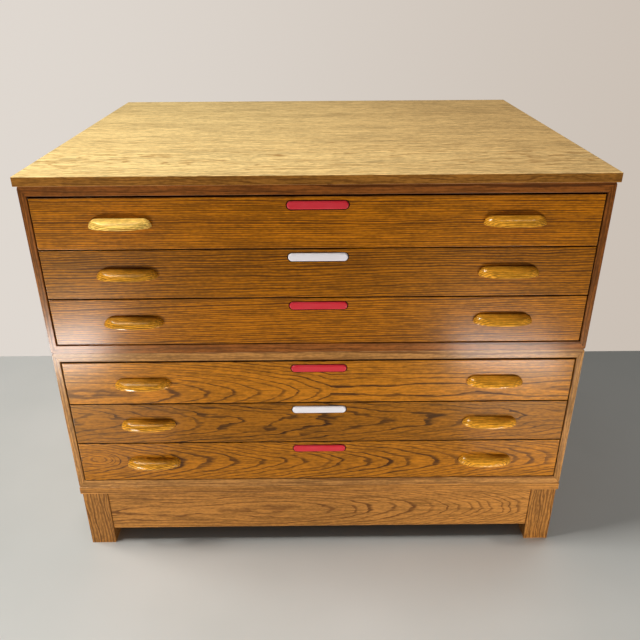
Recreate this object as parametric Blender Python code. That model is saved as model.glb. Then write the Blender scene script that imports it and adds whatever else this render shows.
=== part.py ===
"""Oak flat file cabinet: two cases of three wide drawers, stacked on a leg frame under one top board.

Metres, +Z up.  The origin is on the floor under the middle of the cabinet, and the drawers face -Y.
Drawers are numbered from the top.  Every drawer runs on bullnosed battens that sit in stopped grooves
in its sides, and its front is joined to its sides with lapped dovetails.
"""

import math

import bmesh
import bpy
from mathutils import Matrix, Vector

# Fits shared by all the pieces
seat_gap = 0.0003
cutter_overrun = 0.002
arris_radius = 0.0015
arris_steps = 2
arris_profile_share = 0.5

# Top board
top_thickness = 0.021
top_side_overhang = 0.0065
top_end_overhang = 0.005

# Cases
case_width = 1.260
case_depth = 0.978
case_side_thickness = 0.016
case_rail_thickness = 0.022
case_corner_radius = 0.005
case_corner_steps = 4
drawers_per_case = 3
back_panel_thickness = 0.009
back_panel_lap = 0.008

# Runners on the case sides
runner_height = 0.014
runner_rear_gap = 0.0587
runner_housing_depth = 0.004
runner_engagement = 0.0055
runner_side_play = 0.0005
runner_drop_play = 0.0009
runner_nose_steps = 8

# Drawer fronts and the gaps round them
front_height = 0.1155
front_thickness = 0.020
front_gap = 0.0025
front_side_reveal = 0.0025
front_top_reveal = 0.004
front_bottom_reveal = 0.002

# Drawer boxes
drawer_rear_gap = 0.039
drawer_side_thickness = 0.014
drawer_side_height = 0.095
drawer_side_rise = 0.006
drawer_back_thickness = 0.012
drawer_back_inset = 0.010
drawer_back_housing = 0.004
drawer_bottom_thickness = 0.006
drawer_bottom_rise = 0.012
drawer_bottom_groove = 0.0055
drawer_bottom_play = 0.0005
drawer_groove_rise = 0.046
drawer_groove_stop = 0.030

# Lapped dovetails between a drawer's front and sides
tail_count = 3
tail_lap = 0.006
tail_width_share = 0.72
tail_slope_share = 0.14

# Wooden pulls on the fronts: half a pill seen from the front, domed, with a finger grip underneath
pull_length = 0.136
pull_offset = 0.425
pull_rise = 0.019
pull_reach = 0.028
pull_drop = 0.0058
pull_plan_power = 3
pull_tip_angle = math.radians(80)
pull_proud = pull_reach * math.sin(pull_tip_angle)
pull_layers = 7
pull_outline_steps = 16
grip_length = 0.106
grip_width = 0.016
grip_wall = 0.0045
grip_height = 0.0085
grip_layers = 3
grip_end_steps = 6
grip_roof_angle = math.radians(70)

# Plastic tabs let into the fronts
tab_length = 0.136
tab_height = 0.022
tab_proud = 0.0045
tab_pocket_depth = 0.003
tab_edge_radius = 0.0035
tab_top_margin = 0.0075
tab_end_steps = 10
tab_edge_steps = 4

# Leg frame
leg_width = 0.065
leg_height = 0.1737
leg_inset = 0.0035
strip_thickness = 0.0215
strip_width = 0.080
strip_overhang = 0.001
apron_height = 0.126
apron_thickness = 0.020
apron_setback = 0.0045
tenon_length = 0.014
tenon_thickness = 0.010
tenon_shoulder = 0.010

# Sizes that follow from the ones above
drawer_pitch = front_height + front_gap
opening_height = drawers_per_case * drawer_pitch - front_gap + front_top_reveal + front_bottom_reveal
case_height = opening_height + 2 * case_rail_thickness
case_inner_width = case_width - 2 * case_side_thickness
front_width = case_inner_width - 2 * front_side_reveal
drawer_inner_width = front_width - 2 * drawer_side_thickness
strip_frame_width = case_width + 2 * strip_overhang
strip_frame_depth = case_depth + 2 * strip_overhang
base_height = leg_height + seat_gap + strip_thickness
lower_case_z = base_height + seat_gap
upper_case_z = lower_case_z + case_height + seat_gap
top_board_z = upper_case_z + case_height + seat_gap
# Puts the origin under the middle of the whole outline, from the pulls to the top board's rear edge
middle_shift = (pull_proud - top_end_overhang) / 2
runner_reach = front_side_reveal + runner_engagement
groove_depth = runner_engagement + runner_side_play
groove_height = runner_height + seat_gap + runner_drop_play
groove_centre_z = drawer_side_rise + drawer_groove_rise
runner_centre_z = groove_centre_z + (runner_drop_play - seat_gap) / 2
back_panel_y = case_depth - back_panel_thickness
drawer_depth = back_panel_y - drawer_rear_gap
groove_start_y = front_thickness + drawer_groove_stop
runner_start_y = groove_start_y + seat_gap
runner_end_y = back_panel_y - runner_rear_gap
drawer_back_y = drawer_depth - drawer_back_inset - drawer_back_thickness

# Finishes: base colour, roughness
finishes = {
    "oak_top": ((0.62, 0.38, 0.13), 0.35),
    "oak_case": ((0.33, 0.13, 0.035), 0.38),
    "oak_front_amber": ((0.42, 0.18, 0.04), 0.36),
    "oak_front_figured": ((0.46, 0.21, 0.06), 0.36),
    "oak_base": ((0.45, 0.21, 0.06), 0.40),
    "drawer_box_wood": ((0.58, 0.40, 0.22), 0.55),
    "birch_ply": ((0.66, 0.50, 0.31), 0.60),
    "red_plastic": ((0.52, 0.02, 0.04), 0.32),
    "white_plastic": ((0.72, 0.70, 0.70), 0.32),
}
tab_finishes = ["red_plastic", "white_plastic", "red_plastic"]


def clear_scene():
    """Remove whatever the scene holds."""
    for item in list(bpy.data.objects):
        bpy.data.objects.remove(item, do_unlink=True)


def make_finish(name):
    """A plain Principled material in one of the finishes."""
    colour, roughness = finishes[name]
    material = bpy.data.materials.new(name)
    material.use_nodes = True
    shader = material.node_tree.nodes["Principled BSDF"]
    shader.inputs["Base Color"].default_value = (*colour, 1.0)
    shader.inputs["Roughness"].default_value = roughness
    shader.inputs["Metallic"].default_value = 0.0
    return material


def make_mesh(name, shape):
    """Turn an edited shape into a mesh whose faces point outwards."""
    bmesh.ops.recalc_face_normals(shape, faces=shape.faces)
    mesh = bpy.data.meshes.new(name)
    shape.to_mesh(mesh)
    shape.free()
    return mesh


def place(name, mesh, finish, parent=None, location=(0, 0, 0), turn=0.0):
    """Put a piece into the scene under its parent, turned about the vertical."""
    if not mesh.materials:
        mesh.materials.append(finish)
    piece = bpy.data.objects.new(name, mesh)
    bpy.context.scene.collection.objects.link(piece)
    piece.parent = parent
    piece.location = location
    piece.rotation_euler = (0.0, 0.0, turn)
    piece.material_slots[0].link = "OBJECT"
    piece.material_slots[0].material = finish
    return piece


def place_frame(name, location):
    """An empty that carries the pieces of one assembly."""
    frame = bpy.data.objects.new(name, None)
    bpy.context.scene.collection.objects.link(frame)
    x, y, z = location
    frame.location = (x, y + middle_shift, z)
    return frame


def box_shape(low, high):
    """A box between two corners."""
    low = Vector(low)
    high = Vector(high)
    size = high - low
    centre = (low + high) / 2
    shape = bmesh.new()
    matrix = Matrix.Translation(centre) @ Matrix.Diagonal((*size, 1.0))
    bmesh.ops.create_cube(shape, size=1.0, matrix=matrix)
    return shape


def loft_shape(loops):
    """A closed solid through loops of equally many points, capped at its first and last loop."""
    shape = bmesh.new()
    rings = []
    for loop in loops:
        rings.append([shape.verts.new(point) for point in loop])
    for near, far in zip(rings, rings[1:]):
        for i in range(len(near)):
            j = (i + 1) % len(near)
            shape.faces.new((near[i], near[j], far[j], far[i]))
    shape.faces.new(rings[0])
    shape.faces.new(rings[-1])
    return shape


def prism_shape(outline, axis, start, end):
    """An outline in the plane across an axis, drawn from start to end along that axis."""
    def lift(point, along):
        flat = list(point)
        flat.insert("XYZ".index(axis), along)
        return flat
    return loft_shape([[lift(point, along) for point in outline] for along in (start, end)])


def soften(shape, wanted):
    """Round the edges that the test picks to the arris radius."""
    edges = [edge for edge in shape.edges if wanted(*(vert.co for vert in edge.verts))]
    bmesh.ops.bevel(shape, geom=edges, affect="EDGES", offset=arris_radius,
                    segments=arris_steps, profile=arris_profile_share)


def carve(name, mesh, cutters, joined=()):
    """Cut the cutters out of a mesh, join others onto it, and give the resulting mesh."""
    def temporary(label, part):
        item = bpy.data.objects.new(label, part)
        bpy.context.scene.collection.objects.link(item)
        item.hide_render = True
        return item
    body = temporary(name, mesh)
    helpers = []
    work = [("DIFFERENCE", shape) for shape in cutters] + [("UNION", shape) for shape in joined]
    for number, (operation, shape) in enumerate(work):
        helper = temporary(f"{name}_tool_{number}", make_mesh(f"{name}_tool_{number}", shape))
        helper.display_type = "WIRE"
        helpers.append(helper)
        cut = body.modifiers.new(helper.name, "BOOLEAN")
        cut.operation = operation
        cut.solver = "EXACT"
        cut.object = helper
    bpy.context.view_layer.update()
    evaluated = body.evaluated_get(bpy.context.evaluated_depsgraph_get())
    result = bpy.data.meshes.new_from_object(evaluated)
    result.name = name
    for item in [body] + helpers:
        bpy.data.objects.remove(item, do_unlink=True)
    return result


def pill_outline(length, bottom, top, steps):
    """Points of a pill in the X-Z plane: straight along X, with half round ends."""
    radius = (top - bottom) / 2
    centre_z = (top + bottom) / 2
    reach = length / 2 - radius
    points = []
    for side, first in ((1, -math.pi / 2), (-1, math.pi / 2)):
        for step in range(steps + 1):
            angle = first + math.pi * step / steps
            points.append((side * reach + radius * math.cos(angle), centre_z + radius * math.sin(angle)))
    return points


def pill_loop(length, bottom, top, steps, y):
    """The same pill standing at one depth."""
    return [(x, y, z) for x, z in pill_outline(length, bottom, top, steps)]


# Cases

def mitre_ends():
    """Outer end, inner end and direction of the joint line at the top right corner of a case."""
    round_share = math.sqrt(0.5)
    outer = Vector((case_width / 2 - case_corner_radius * (1 - round_share),
                    case_height - case_corner_radius * (1 - round_share)))
    inner = Vector((case_width / 2 - case_side_thickness, case_height - case_rail_thickness))
    run = (outer - inner).normalized()
    return outer, inner, run


def corner_points(first, last):
    """Points on the rounded top right corner of a case, between two angles."""
    centre_x = case_width / 2 - case_corner_radius
    centre_z = case_height - case_corner_radius
    points = []
    for step in range(case_corner_steps):
        angle = first + (last - first) * step / case_corner_steps
        points.append((centre_x + case_corner_radius * math.cos(angle),
                       centre_z + case_corner_radius * math.sin(angle)))
    return points


def side_outline():
    """The right side of a case seen from the front, with half of each corner and its mitres."""
    outer, inner, run = mitre_ends()
    outer_end = (outer.x + run.y * seat_gap / 2, outer.y - run.x * seat_gap / 2)
    inner_end = (inner.x, inner.y - seat_gap / (2 * run.x))
    upper = corner_points(0.0, math.pi / 4) + [outer_end, inner_end]
    lower = [(x, case_height - z) for x, z in reversed(upper)]
    return lower + upper


def rail_outline():
    """The top panel of a case seen from the front, mitred to both sides."""
    outer, inner, run = mitre_ends()
    outer_end = (outer.x - run.y * seat_gap / 2, outer.y + run.x * seat_gap / 2)
    inner_end = (inner.x - seat_gap / (2 * run.y), inner.y)
    right = [inner_end, outer_end] + list(reversed(corner_points(math.pi / 2, math.pi / 4)))
    left = [(-x, z) for x, z in reversed(right)]
    return right + left


def is_front_arris(start, end):
    """True for the front edges of a case piece that lie along its faces and not along a mitre."""
    at_front = max(start.y, end.y) < -case_depth / 2 + seat_gap
    slanted = min(abs(start.x - end.x), abs(start.z - end.z)) > case_corner_radius
    return at_front and not slanted


def back_panel_box(play):
    """Low and high corners of the back panel's place in a case, with some play round it."""
    half_width = case_inner_width / 2 + back_panel_lap + play
    low_z = case_rail_thickness - back_panel_lap - play
    high_z = case_height - low_z
    front_y = case_depth / 2 - back_panel_thickness - play
    return (-half_width, front_y, low_z), (half_width, case_depth / 2, high_z)


def rebate_cutter():
    """The rebate that takes the back panel, cut past the rear edge."""
    low, high = back_panel_box(seat_gap)
    return box_shape(low, (high[0], high[1] + cutter_overrun, high[2]))


def nose_outline(start_y, end_y, centre_z, height, steps):
    """A bar in the Y-Z plane with a half round front end."""
    radius = height / 2
    points = [(end_y, centre_z - radius), (end_y, centre_z + radius)]
    for step in range(steps + 1):
        angle = math.pi / 2 + math.pi * step / steps
        points.append((start_y + radius + radius * math.cos(angle), centre_z + radius * math.sin(angle)))
    return points


def runner_shapes(hand):
    """The battens on one side of a case, each let into its housing."""
    inner = hand * case_inner_width / 2
    front_y = -case_depth / 2
    shapes = []
    for number in range(drawers_per_case):
        centre_z = case_rail_thickness + front_bottom_reveal + number * drawer_pitch + runner_centre_z
        outline = nose_outline(front_y + runner_start_y, front_y + runner_end_y, centre_z,
                               runner_height, runner_nose_steps)
        edges = (inner + hand * runner_housing_depth, inner - hand * runner_reach)
        shapes.append(prism_shape(outline, "X", *edges))
    return shapes


def case_side_mesh(hand):
    """A side panel with its three runners, for the left (-1) or the right (+1)."""
    outline = [(hand * x, z) for x, z in side_outline()]
    shape = prism_shape(outline, "Y", -case_depth / 2, case_depth / 2)
    soften(shape, is_front_arris)
    return carve("case_side", make_mesh("case_side_blank", shape), [rebate_cutter()], runner_shapes(hand))


def case_rail_mesh(at_top):
    """The top or bottom panel of a case, rebated for the back panel."""
    outline = rail_outline()
    if not at_top:
        outline = [(x, case_height - z) for x, z in outline]
    shape = prism_shape(outline, "Y", -case_depth / 2, case_depth / 2)
    soften(shape, is_front_arris)
    return carve("case_rail", make_mesh("case_rail_blank", shape), [rebate_cutter()])


def build_case(label, z, meshes, materials):
    """One case: two sides, top, bottom and back."""
    frame = place_frame(f"{label}_frame", (0, 0, z))
    oak = materials["oak_case"]
    place(f"{label}_left_side", meshes["left_side"], oak, frame)
    place(f"{label}_right_side", meshes["right_side"], oak, frame)
    place(f"{label}_top", meshes["top"], oak, frame)
    place(f"{label}_bottom", meshes["bottom"], oak, frame)
    place(f"{label}_back", meshes["back"], materials["birch_ply"], frame)


# Drawers

def pull_outline(reach):
    """A pull's outline at one distance from the front face, from its lower left corner over the top."""
    depth_share = reach / pull_reach
    half_length = pull_length / 2 * (1 - depth_share ** pull_plan_power) ** (1 / pull_plan_power)
    straight = pull_length / 2 - pull_rise
    points = []
    for step in range(pull_outline_steps + 1):
        x = half_length * math.sin(math.pi * (step / pull_outline_steps - 0.5))
        round_share = max(0.0, abs(x) - straight) / pull_rise
        root_rise = pull_rise * math.sqrt(max(0.0, 1 - round_share ** 2))
        plan_share = (1 - (2 * abs(x) / pull_length) ** pull_plan_power) ** (1 / pull_plan_power)
        section_share = depth_share / plan_share if plan_share > depth_share else 1.0
        points.append((x, root_rise * math.sqrt(1 - section_share ** 2)))
    return points


def pull_shape(x):
    """One pull, rooted in the front board: a dome over a flat underside, narrowing to a blunt tip."""
    low_z = front_height / 2 - pull_drop
    reaches = [pull_reach * math.sin(pull_tip_angle * layer / pull_layers) for layer in range(pull_layers + 1)]
    loops = [[(x + px, cutter_overrun, low_z + rise) for px, rise in pull_outline(reaches[0])]]
    for reach in reaches:
        loops.append([(x + px, -reach, low_z + rise) for px, rise in pull_outline(reach)])
    return loft_shape(loops)


def grip_cutter(x):
    """The finger grip: a long hollow with round ends, cut up into a pull from below."""
    low_z = front_height / 2 - pull_drop
    middle_y = -grip_wall - grip_width / 2
    loops = []
    for layer in range(grip_layers + 1):
        angle = grip_roof_angle * layer / grip_layers
        inset = grip_width / 2 * (1 - math.cos(angle))
        flat = pill_outline(grip_length - 2 * inset, inset - grip_width / 2, grip_width / 2 - inset, grip_end_steps)
        z = low_z + grip_height * math.sin(angle)
        if not loops:
            loops.append([(x + px, middle_y + py, z - cutter_overrun) for px, py in flat])
        loops.append([(x + px, middle_y + py, z) for px, py in flat])
    return loft_shape(loops)


def tab_limits(play):
    """Length, lower and upper edge of the tab's outline, grown by some play."""
    top = front_height - tab_top_margin
    return tab_length + 2 * play, top - tab_height - play, top + play


def tab_pocket_cutter():
    """The shallow pocket that a tab sits in."""
    length, bottom, top = tab_limits(seat_gap)
    depths = (-cutter_overrun, tab_pocket_depth + seat_gap)
    return loft_shape([pill_loop(length, bottom, top, tab_end_steps, y) for y in depths])


def tab_mesh():
    """A raised pill with a rounded front edge and a flat back in its pocket."""
    length, bottom, top = tab_limits(0.0)
    loops = [pill_loop(length, bottom, top, tab_end_steps, tab_pocket_depth)]
    for step in range(tab_edge_steps + 1):
        angle = math.pi / 2 * step / tab_edge_steps
        inset = tab_edge_radius * (1 - math.cos(angle))
        y = tab_edge_radius - tab_proud - tab_edge_radius * math.sin(angle)
        loops.append(pill_loop(length - 2 * inset, bottom + inset, top - inset, tab_end_steps, y))
    return make_mesh("tab", loft_shape(loops))


def tail_outline(centre_z, play, mouth_y):
    """One dovetail seen from the side of the drawer, from its wide tip back to mouth_y."""
    tip_y = tail_lap - play
    tip_half = tail_width_share * drawer_side_height / tail_count / 2 + play
    mouth_half = tip_half - tail_slope_share * (mouth_y - tip_y)
    return [(mouth_y, centre_z + mouth_half), (tip_y, centre_z + tip_half),
            (tip_y, centre_z - tip_half), (mouth_y, centre_z - mouth_half)]


def tail_centres():
    """Heights of the dovetails on a drawer side, from the top one down."""
    pitch = drawer_side_height / tail_count
    return [drawer_side_rise + pitch * (number + 0.5) for number in reversed(range(tail_count))]


def socket_cutters():
    """The sockets for both sides' dovetails, open at the ends and the rear of the front."""
    cutters = []
    for hand in (-1, 1):
        outer = hand * (front_width / 2 + cutter_overrun)
        inner = hand * (drawer_inner_width / 2 - seat_gap)
        for centre_z in tail_centres():
            outline = tail_outline(centre_z, seat_gap, front_thickness + cutter_overrun)
            cutters.append(prism_shape(outline, "X", inner, outer))
    return cutters


def bottom_panel_box(play):
    """Low and high corners of the drawer bottom, with some play round it."""
    half_width = drawer_inner_width / 2 + drawer_bottom_groove - drawer_bottom_play + play
    front_y = front_thickness - drawer_bottom_groove + drawer_bottom_play - play
    rear_y = drawer_back_y + drawer_back_thickness
    low_z = drawer_side_rise + drawer_bottom_rise
    return (-half_width, front_y, low_z - play), (half_width, rear_y, low_z + drawer_bottom_thickness + play)


def front_mesh():
    """A drawer front with its two pulls, tab pocket, dovetail sockets and bottom groove."""
    half_width = front_width / 2
    shape = box_shape((-half_width, 0, 0), (half_width, front_thickness, front_height))
    soften(shape, lambda start, end: max(start.y, end.y) < arris_radius)
    low, high = bottom_panel_box(seat_gap)
    groove = box_shape((-drawer_inner_width / 2 - seat_gap, front_thickness - drawer_bottom_groove, low[2]),
                       (drawer_inner_width / 2 + seat_gap, front_thickness + cutter_overrun, high[2]))
    places = (-pull_offset, pull_offset)
    board = carve("front_board", make_mesh("front_blank", shape), [], [pull_shape(x) for x in places])
    cutters = [grip_cutter(x) for x in places] + [tab_pocket_cutter(), groove]
    return carve("front", board, cutters + socket_cutters())


def drawer_side_mesh(hand):
    """A drawer side: dovetailed end, runner groove outside, bottom groove and back housing inside."""
    outer = hand * front_width / 2
    inner = hand * drawer_inner_width / 2
    top = drawer_side_rise + drawer_side_height
    shoulder = front_thickness + seat_gap
    outline = [(drawer_depth, drawer_side_rise), (drawer_depth, top), (shoulder, top)]
    for centre_z in tail_centres():
        outline += tail_outline(centre_z, 0.0, shoulder)
    outline.append((shoulder, drawer_side_rise))
    blank = make_mesh("drawer_side_blank", prism_shape(outline, "X", inner, outer))

    slot = nose_outline(groove_start_y, drawer_depth + cutter_overrun, groove_centre_z,
                        groove_height, runner_nose_steps)
    slot_edges = (outer + hand * cutter_overrun, outer - hand * groove_depth)
    runner_groove = prism_shape(slot, "X", *slot_edges)

    low, high = bottom_panel_box(seat_gap)
    bottom_groove = box_shape((min(inner - hand * cutter_overrun, inner + hand * drawer_bottom_groove),
                               tail_lap - cutter_overrun, low[2]),
                              (max(inner - hand * cutter_overrun, inner + hand * drawer_bottom_groove),
                               drawer_depth + cutter_overrun, high[2]))

    housing_x = (inner - hand * cutter_overrun, inner + hand * drawer_back_housing)
    back_housing = box_shape((min(housing_x), drawer_back_y - seat_gap, high[2] - seat_gap),
                             (max(housing_x), drawer_back_y + drawer_back_thickness + seat_gap,
                              top + cutter_overrun))
    return carve("drawer_side", blank, [runner_groove, bottom_groove, back_housing])


def drawer_back_mesh():
    """The drawer back, standing on the bottom panel and held in both side housings."""
    half_width = drawer_inner_width / 2 + drawer_back_housing - seat_gap
    low_z = bottom_panel_box(0.0)[1][2] + seat_gap
    return make_mesh("drawer_back", box_shape((-half_width, drawer_back_y, low_z),
                                              (half_width, drawer_back_y + drawer_back_thickness,
                                               drawer_side_rise + drawer_side_height)))


def build_drawer(number, z, meshes, materials, front_finish, tab_finish):
    """One drawer, carried by an empty on the middle of its slide line."""
    frame = place_frame(f"drawer_{number}_slide", (0, -case_depth / 2, z))
    box_wood = materials["drawer_box_wood"]
    place(f"drawer_{number}_front", meshes["front"], materials[front_finish], frame)
    place(f"drawer_{number}_left_side", meshes["drawer_left"], box_wood, frame)
    place(f"drawer_{number}_right_side", meshes["drawer_right"], box_wood, frame)
    place(f"drawer_{number}_back", meshes["drawer_back"], box_wood, frame)
    place(f"drawer_{number}_bottom", meshes["drawer_bottom"], materials["birch_ply"], frame)
    place(f"drawer_{number}_tab", meshes["tab"], materials[tab_finish], frame)


# Leg frame

def leg_mesh():
    """A square leg with two mortises, as it stands at the front left corner."""
    half = leg_width / 2
    shape = box_shape((-half, -half, 0), (half, half, leg_height))
    soften(shape, lambda start, end: abs(start.z - end.z) > half)
    mortise_low = leg_height - apron_height + tenon_shoulder - seat_gap
    mortise_high = leg_height - tenon_shoulder + seat_gap
    near = apron_setback + (apron_thickness - tenon_thickness) / 2 - seat_gap - half
    far = near + tenon_thickness + 2 * seat_gap
    depth = half - tenon_length - seat_gap
    cutters = [
        box_shape((depth, near, mortise_low), (half + cutter_overrun, far, mortise_high)),
        box_shape((near, depth, mortise_low), (far, half + cutter_overrun, mortise_high)),
    ]
    return carve("leg", make_mesh("leg_blank", shape), cutters)


def apron_mesh(frame_length):
    """An apron between two legs of a frame this long, tenoned at both ends; its face is towards -Y."""
    half_clear = frame_length / 2 - leg_inset - leg_width - seat_gap
    half_tenon = half_clear + tenon_length
    middle = apron_thickness / 2
    shape = box_shape((-half_clear, -middle, -apron_height), (half_clear, middle, 0))
    soften(shape, lambda start, end: max(start.y, end.y) < 0 and abs(start.x - end.x) > half_clear
           and max(start.z, end.z) < 0)
    tenon = box_shape((-half_tenon, -tenon_thickness / 2, tenon_shoulder - apron_height),
                      (half_tenon, tenon_thickness / 2, -tenon_shoulder))
    return carve("apron", make_mesh("apron_blank", shape), [], [tenon])


def strip_mesh(frame_length):
    """One mitred strip of the frame on the legs, this long along its outer edge, which is at -Y."""
    reach = frame_length / 2 - seat_gap
    inner_reach = reach - strip_width
    outline = [(-reach, 0), (reach, 0), (inner_reach, strip_width), (-inner_reach, strip_width)]
    shape = prism_shape(outline, "Z", 0, strip_thickness)
    soften(shape, lambda start, end: max(start.y, end.y) < seat_gap and abs(start.z - end.z) < seat_gap)
    return make_mesh("strip", shape)


def build_base(materials):
    """Four legs, four aprons and the mitred frame that the cases stand on."""
    frame = place_frame("base_frame", (0, 0, 0))
    oak = materials["oak_base"]
    leg = leg_mesh()
    leg_x = strip_frame_width / 2 - leg_inset - leg_width / 2
    leg_y = strip_frame_depth / 2 - leg_inset - leg_width / 2
    corners = [("front_left", -1, -1), ("front_right", 1, -1), ("back_right", 1, 1), ("back_left", -1, 1)]
    for quarter, (corner, side_x, side_y) in enumerate(corners):
        spot = (side_x * leg_x, side_y * leg_y, 0)
        place(f"base_leg_{corner}", leg, oak, frame, spot, quarter * math.pi / 2)

    long_pair = (apron_mesh(strip_frame_width), strip_mesh(strip_frame_width), strip_frame_depth)
    short_pair = (apron_mesh(strip_frame_depth), strip_mesh(strip_frame_depth), strip_frame_width)
    sides = [("front", 0, -1, long_pair), ("right", 1, 0, short_pair),
             ("back", 0, 1, long_pair), ("left", -1, 0, short_pair)]
    for quarter, (side, way_x, way_y, (apron, strip, span)) in enumerate(sides):
        turn = quarter * math.pi / 2
        apron_out = span / 2 - leg_inset - apron_setback - apron_thickness / 2
        strip_out = span / 2
        place(f"base_apron_{side}", apron, oak, frame,
              (way_x * apron_out, way_y * apron_out, leg_height), turn)
        place(f"base_strip_{side}", strip, oak, frame,
              (way_x * strip_out, way_y * strip_out, leg_height + seat_gap), turn)


def build_top(materials):
    """The top board, with all its arrises softened."""
    half_width = case_width / 2 + top_side_overhang
    half_depth = case_depth / 2 + top_end_overhang
    shape = box_shape((-half_width, -half_depth, 0), (half_width, half_depth, top_thickness))
    soften(shape, lambda start, end: True)
    place("top_board", make_mesh("top_board", shape), materials["oak_top"], None, (0, middle_shift, top_board_z))


def main():
    """Build the whole cabinet."""
    clear_scene()
    materials = {name: make_finish(name) for name in finishes}
    build_base(materials)

    meshes = {
        "left_side": case_side_mesh(-1),
        "right_side": case_side_mesh(1),
        "top": case_rail_mesh(True),
        "bottom": case_rail_mesh(False),
        "back": make_mesh("case_back", box_shape(*back_panel_box(0.0))),
        "front": front_mesh(),
        "drawer_left": drawer_side_mesh(-1),
        "drawer_right": drawer_side_mesh(1),
        "drawer_back": drawer_back_mesh(),
        "drawer_bottom": make_mesh("drawer_bottom", box_shape(*bottom_panel_box(0.0))),
        "tab": tab_mesh(),
    }
    cases = [
        ("upper_case", upper_case_z, "oak_front_amber"),
        ("lower_case", lower_case_z, "oak_front_figured"),
    ]
    number = 0
    for label, case_z, front_finish in cases:
        build_case(label, case_z, meshes, materials)
        for place_from_top, tab_finish in enumerate(tab_finishes):
            number += 1
            place_from_bottom = drawers_per_case - 1 - place_from_top
            z = case_z + case_rail_thickness + front_bottom_reveal + place_from_bottom * drawer_pitch
            build_drawer(number, z, meshes, materials, front_finish, tab_finish)
    build_top(materials)


main()
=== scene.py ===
# %% [markdown]
# # An oak flat file cabinet
#
# The cabinet is two cases of three wide, shallow drawers each, stacked on a low leg frame under one top
# board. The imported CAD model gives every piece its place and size. This script gives each piece its
# finish, models the pieces that need finer shapes than the CAD has, and sets up the floor, the light
# and the camera. Each step is explained first and then done in short cells.

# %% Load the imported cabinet
import math

import bpy
from mathutils import Matrix, Vector


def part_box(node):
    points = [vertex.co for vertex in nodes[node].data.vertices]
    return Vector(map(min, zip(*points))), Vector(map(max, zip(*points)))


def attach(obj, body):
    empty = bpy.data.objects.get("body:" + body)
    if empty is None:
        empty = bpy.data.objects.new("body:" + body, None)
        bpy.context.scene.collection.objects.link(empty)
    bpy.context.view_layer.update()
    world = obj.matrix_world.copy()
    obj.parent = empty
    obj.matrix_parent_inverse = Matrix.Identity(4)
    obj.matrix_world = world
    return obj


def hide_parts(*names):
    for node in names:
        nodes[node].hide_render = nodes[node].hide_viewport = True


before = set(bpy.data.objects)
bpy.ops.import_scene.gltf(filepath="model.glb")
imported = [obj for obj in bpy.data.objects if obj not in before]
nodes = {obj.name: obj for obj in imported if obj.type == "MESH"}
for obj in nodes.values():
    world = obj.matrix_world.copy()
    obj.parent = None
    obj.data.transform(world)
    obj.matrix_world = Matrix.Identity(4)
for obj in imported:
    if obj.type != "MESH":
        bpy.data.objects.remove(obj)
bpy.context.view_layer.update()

# %% [markdown]
# ## Camera
#
# The photograph was taken a little above the top board and just in front of the cabinet, looking down.
# A camera can be placed by eye, or worked out from corners whose real places are known. Here the corners
# of the boards were used, which gave the eye point, the turn of the camera and the focal length. The
# camera's own axes are built from its heading, so that no constraint or target is needed.

# %% Place the camera
camera_place = Vector((-0.0044, -1.8579, 1.3725))
camera_dip = 0.4642
camera_heading = 0.0056
camera_tilt = -0.0060
image_side = 640
focal_length_in_pixels = 669.5
sensor_side = 36.0
view_distance = 100.0


def camera_turn(heading, dip, tilt):
    """The rotation of a camera that looks along +Y, turned right, dipped and tilted."""
    view = Vector((math.sin(heading) * math.cos(dip), math.cos(heading) * math.cos(dip), -math.sin(dip)))
    level = Vector((math.cos(heading), -math.sin(heading), 0.0))
    rise = level.cross(view)
    right = math.cos(tilt) * level + math.sin(tilt) * rise
    up = math.cos(tilt) * rise - math.sin(tilt) * level
    return Matrix((right, up, -view)).transposed().to_4x4()


camera = bpy.data.objects.new("camera", bpy.data.cameras.new("camera"))
bpy.context.scene.collection.objects.link(camera)
camera.matrix_world = Matrix.Translation(camera_place) @ camera_turn(camera_heading, camera_dip, camera_tilt)
camera.data.sensor_width = sensor_side
camera.data.lens = focal_length_in_pixels / image_side * sensor_side
camera.data.clip_end = view_distance
bpy.context.scene.camera = camera
print("lens:", round(camera.data.lens, 2), "mm")

# %% [markdown]
# ## Small tools for building materials
#
# A procedural material is a net of nodes. Typing each node by hand makes a script long and hard to
# follow, so short helpers join a value or another node's output to a socket, add a node, do a sum, mix two
# colours, make noise, and open or place a group of nodes. Everything later is written with them.

# %% Helpers for nodes


def join(tree, source, socket):
    """Feed a socket from another node's output, or set it to a plain value."""
    if isinstance(source, bpy.types.NodeSocket):
        tree.links.new(source, socket)
    else:
        socket.default_value = source


def add_node(tree, kind, feeds=(), **settings):
    """Add a node with its settings, and feed its sockets, which are named or numbered."""
    node = tree.nodes.new(kind)
    for name, value in settings.items():
        setattr(node, name, value)
    for socket, source in dict(feeds).items():
        join(tree, source, node.inputs[socket])
    return node


def sum_of(tree, operation, *values):
    """The result of one arithmetic step on numbers or outputs."""
    return add_node(tree, "ShaderNodeMath", dict(enumerate(values)), operation=operation).outputs[0]


def vector_of(tree, operation, *values):
    """The result of one arithmetic step on vectors, which is a number for a length."""
    node = add_node(tree, "ShaderNodeVectorMath", dict(enumerate(values)), operation=operation)
    return node.outputs["Value" if operation == "LENGTH" else "Vector"]


def ease(tree, value, start, end, low=0.0, high=1.0):
    """A soft step: low up to start, high from end on."""
    feeds = {"Value": value, "From Min": start, "From Max": end, "To Min": low, "To Max": high}
    return add_node(tree, "ShaderNodeMapRange", feeds, interpolation_type="SMOOTHSTEP").outputs[0]


def blend_colours(tree, share, first, second, way="MIX"):
    """Two colours mixed by a share from 0 to 1."""
    feeds = {0: share, 6: first, 7: second}
    return add_node(tree, "ShaderNodeMix", feeds, data_type="RGBA", blend_type=way).outputs[2]


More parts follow.
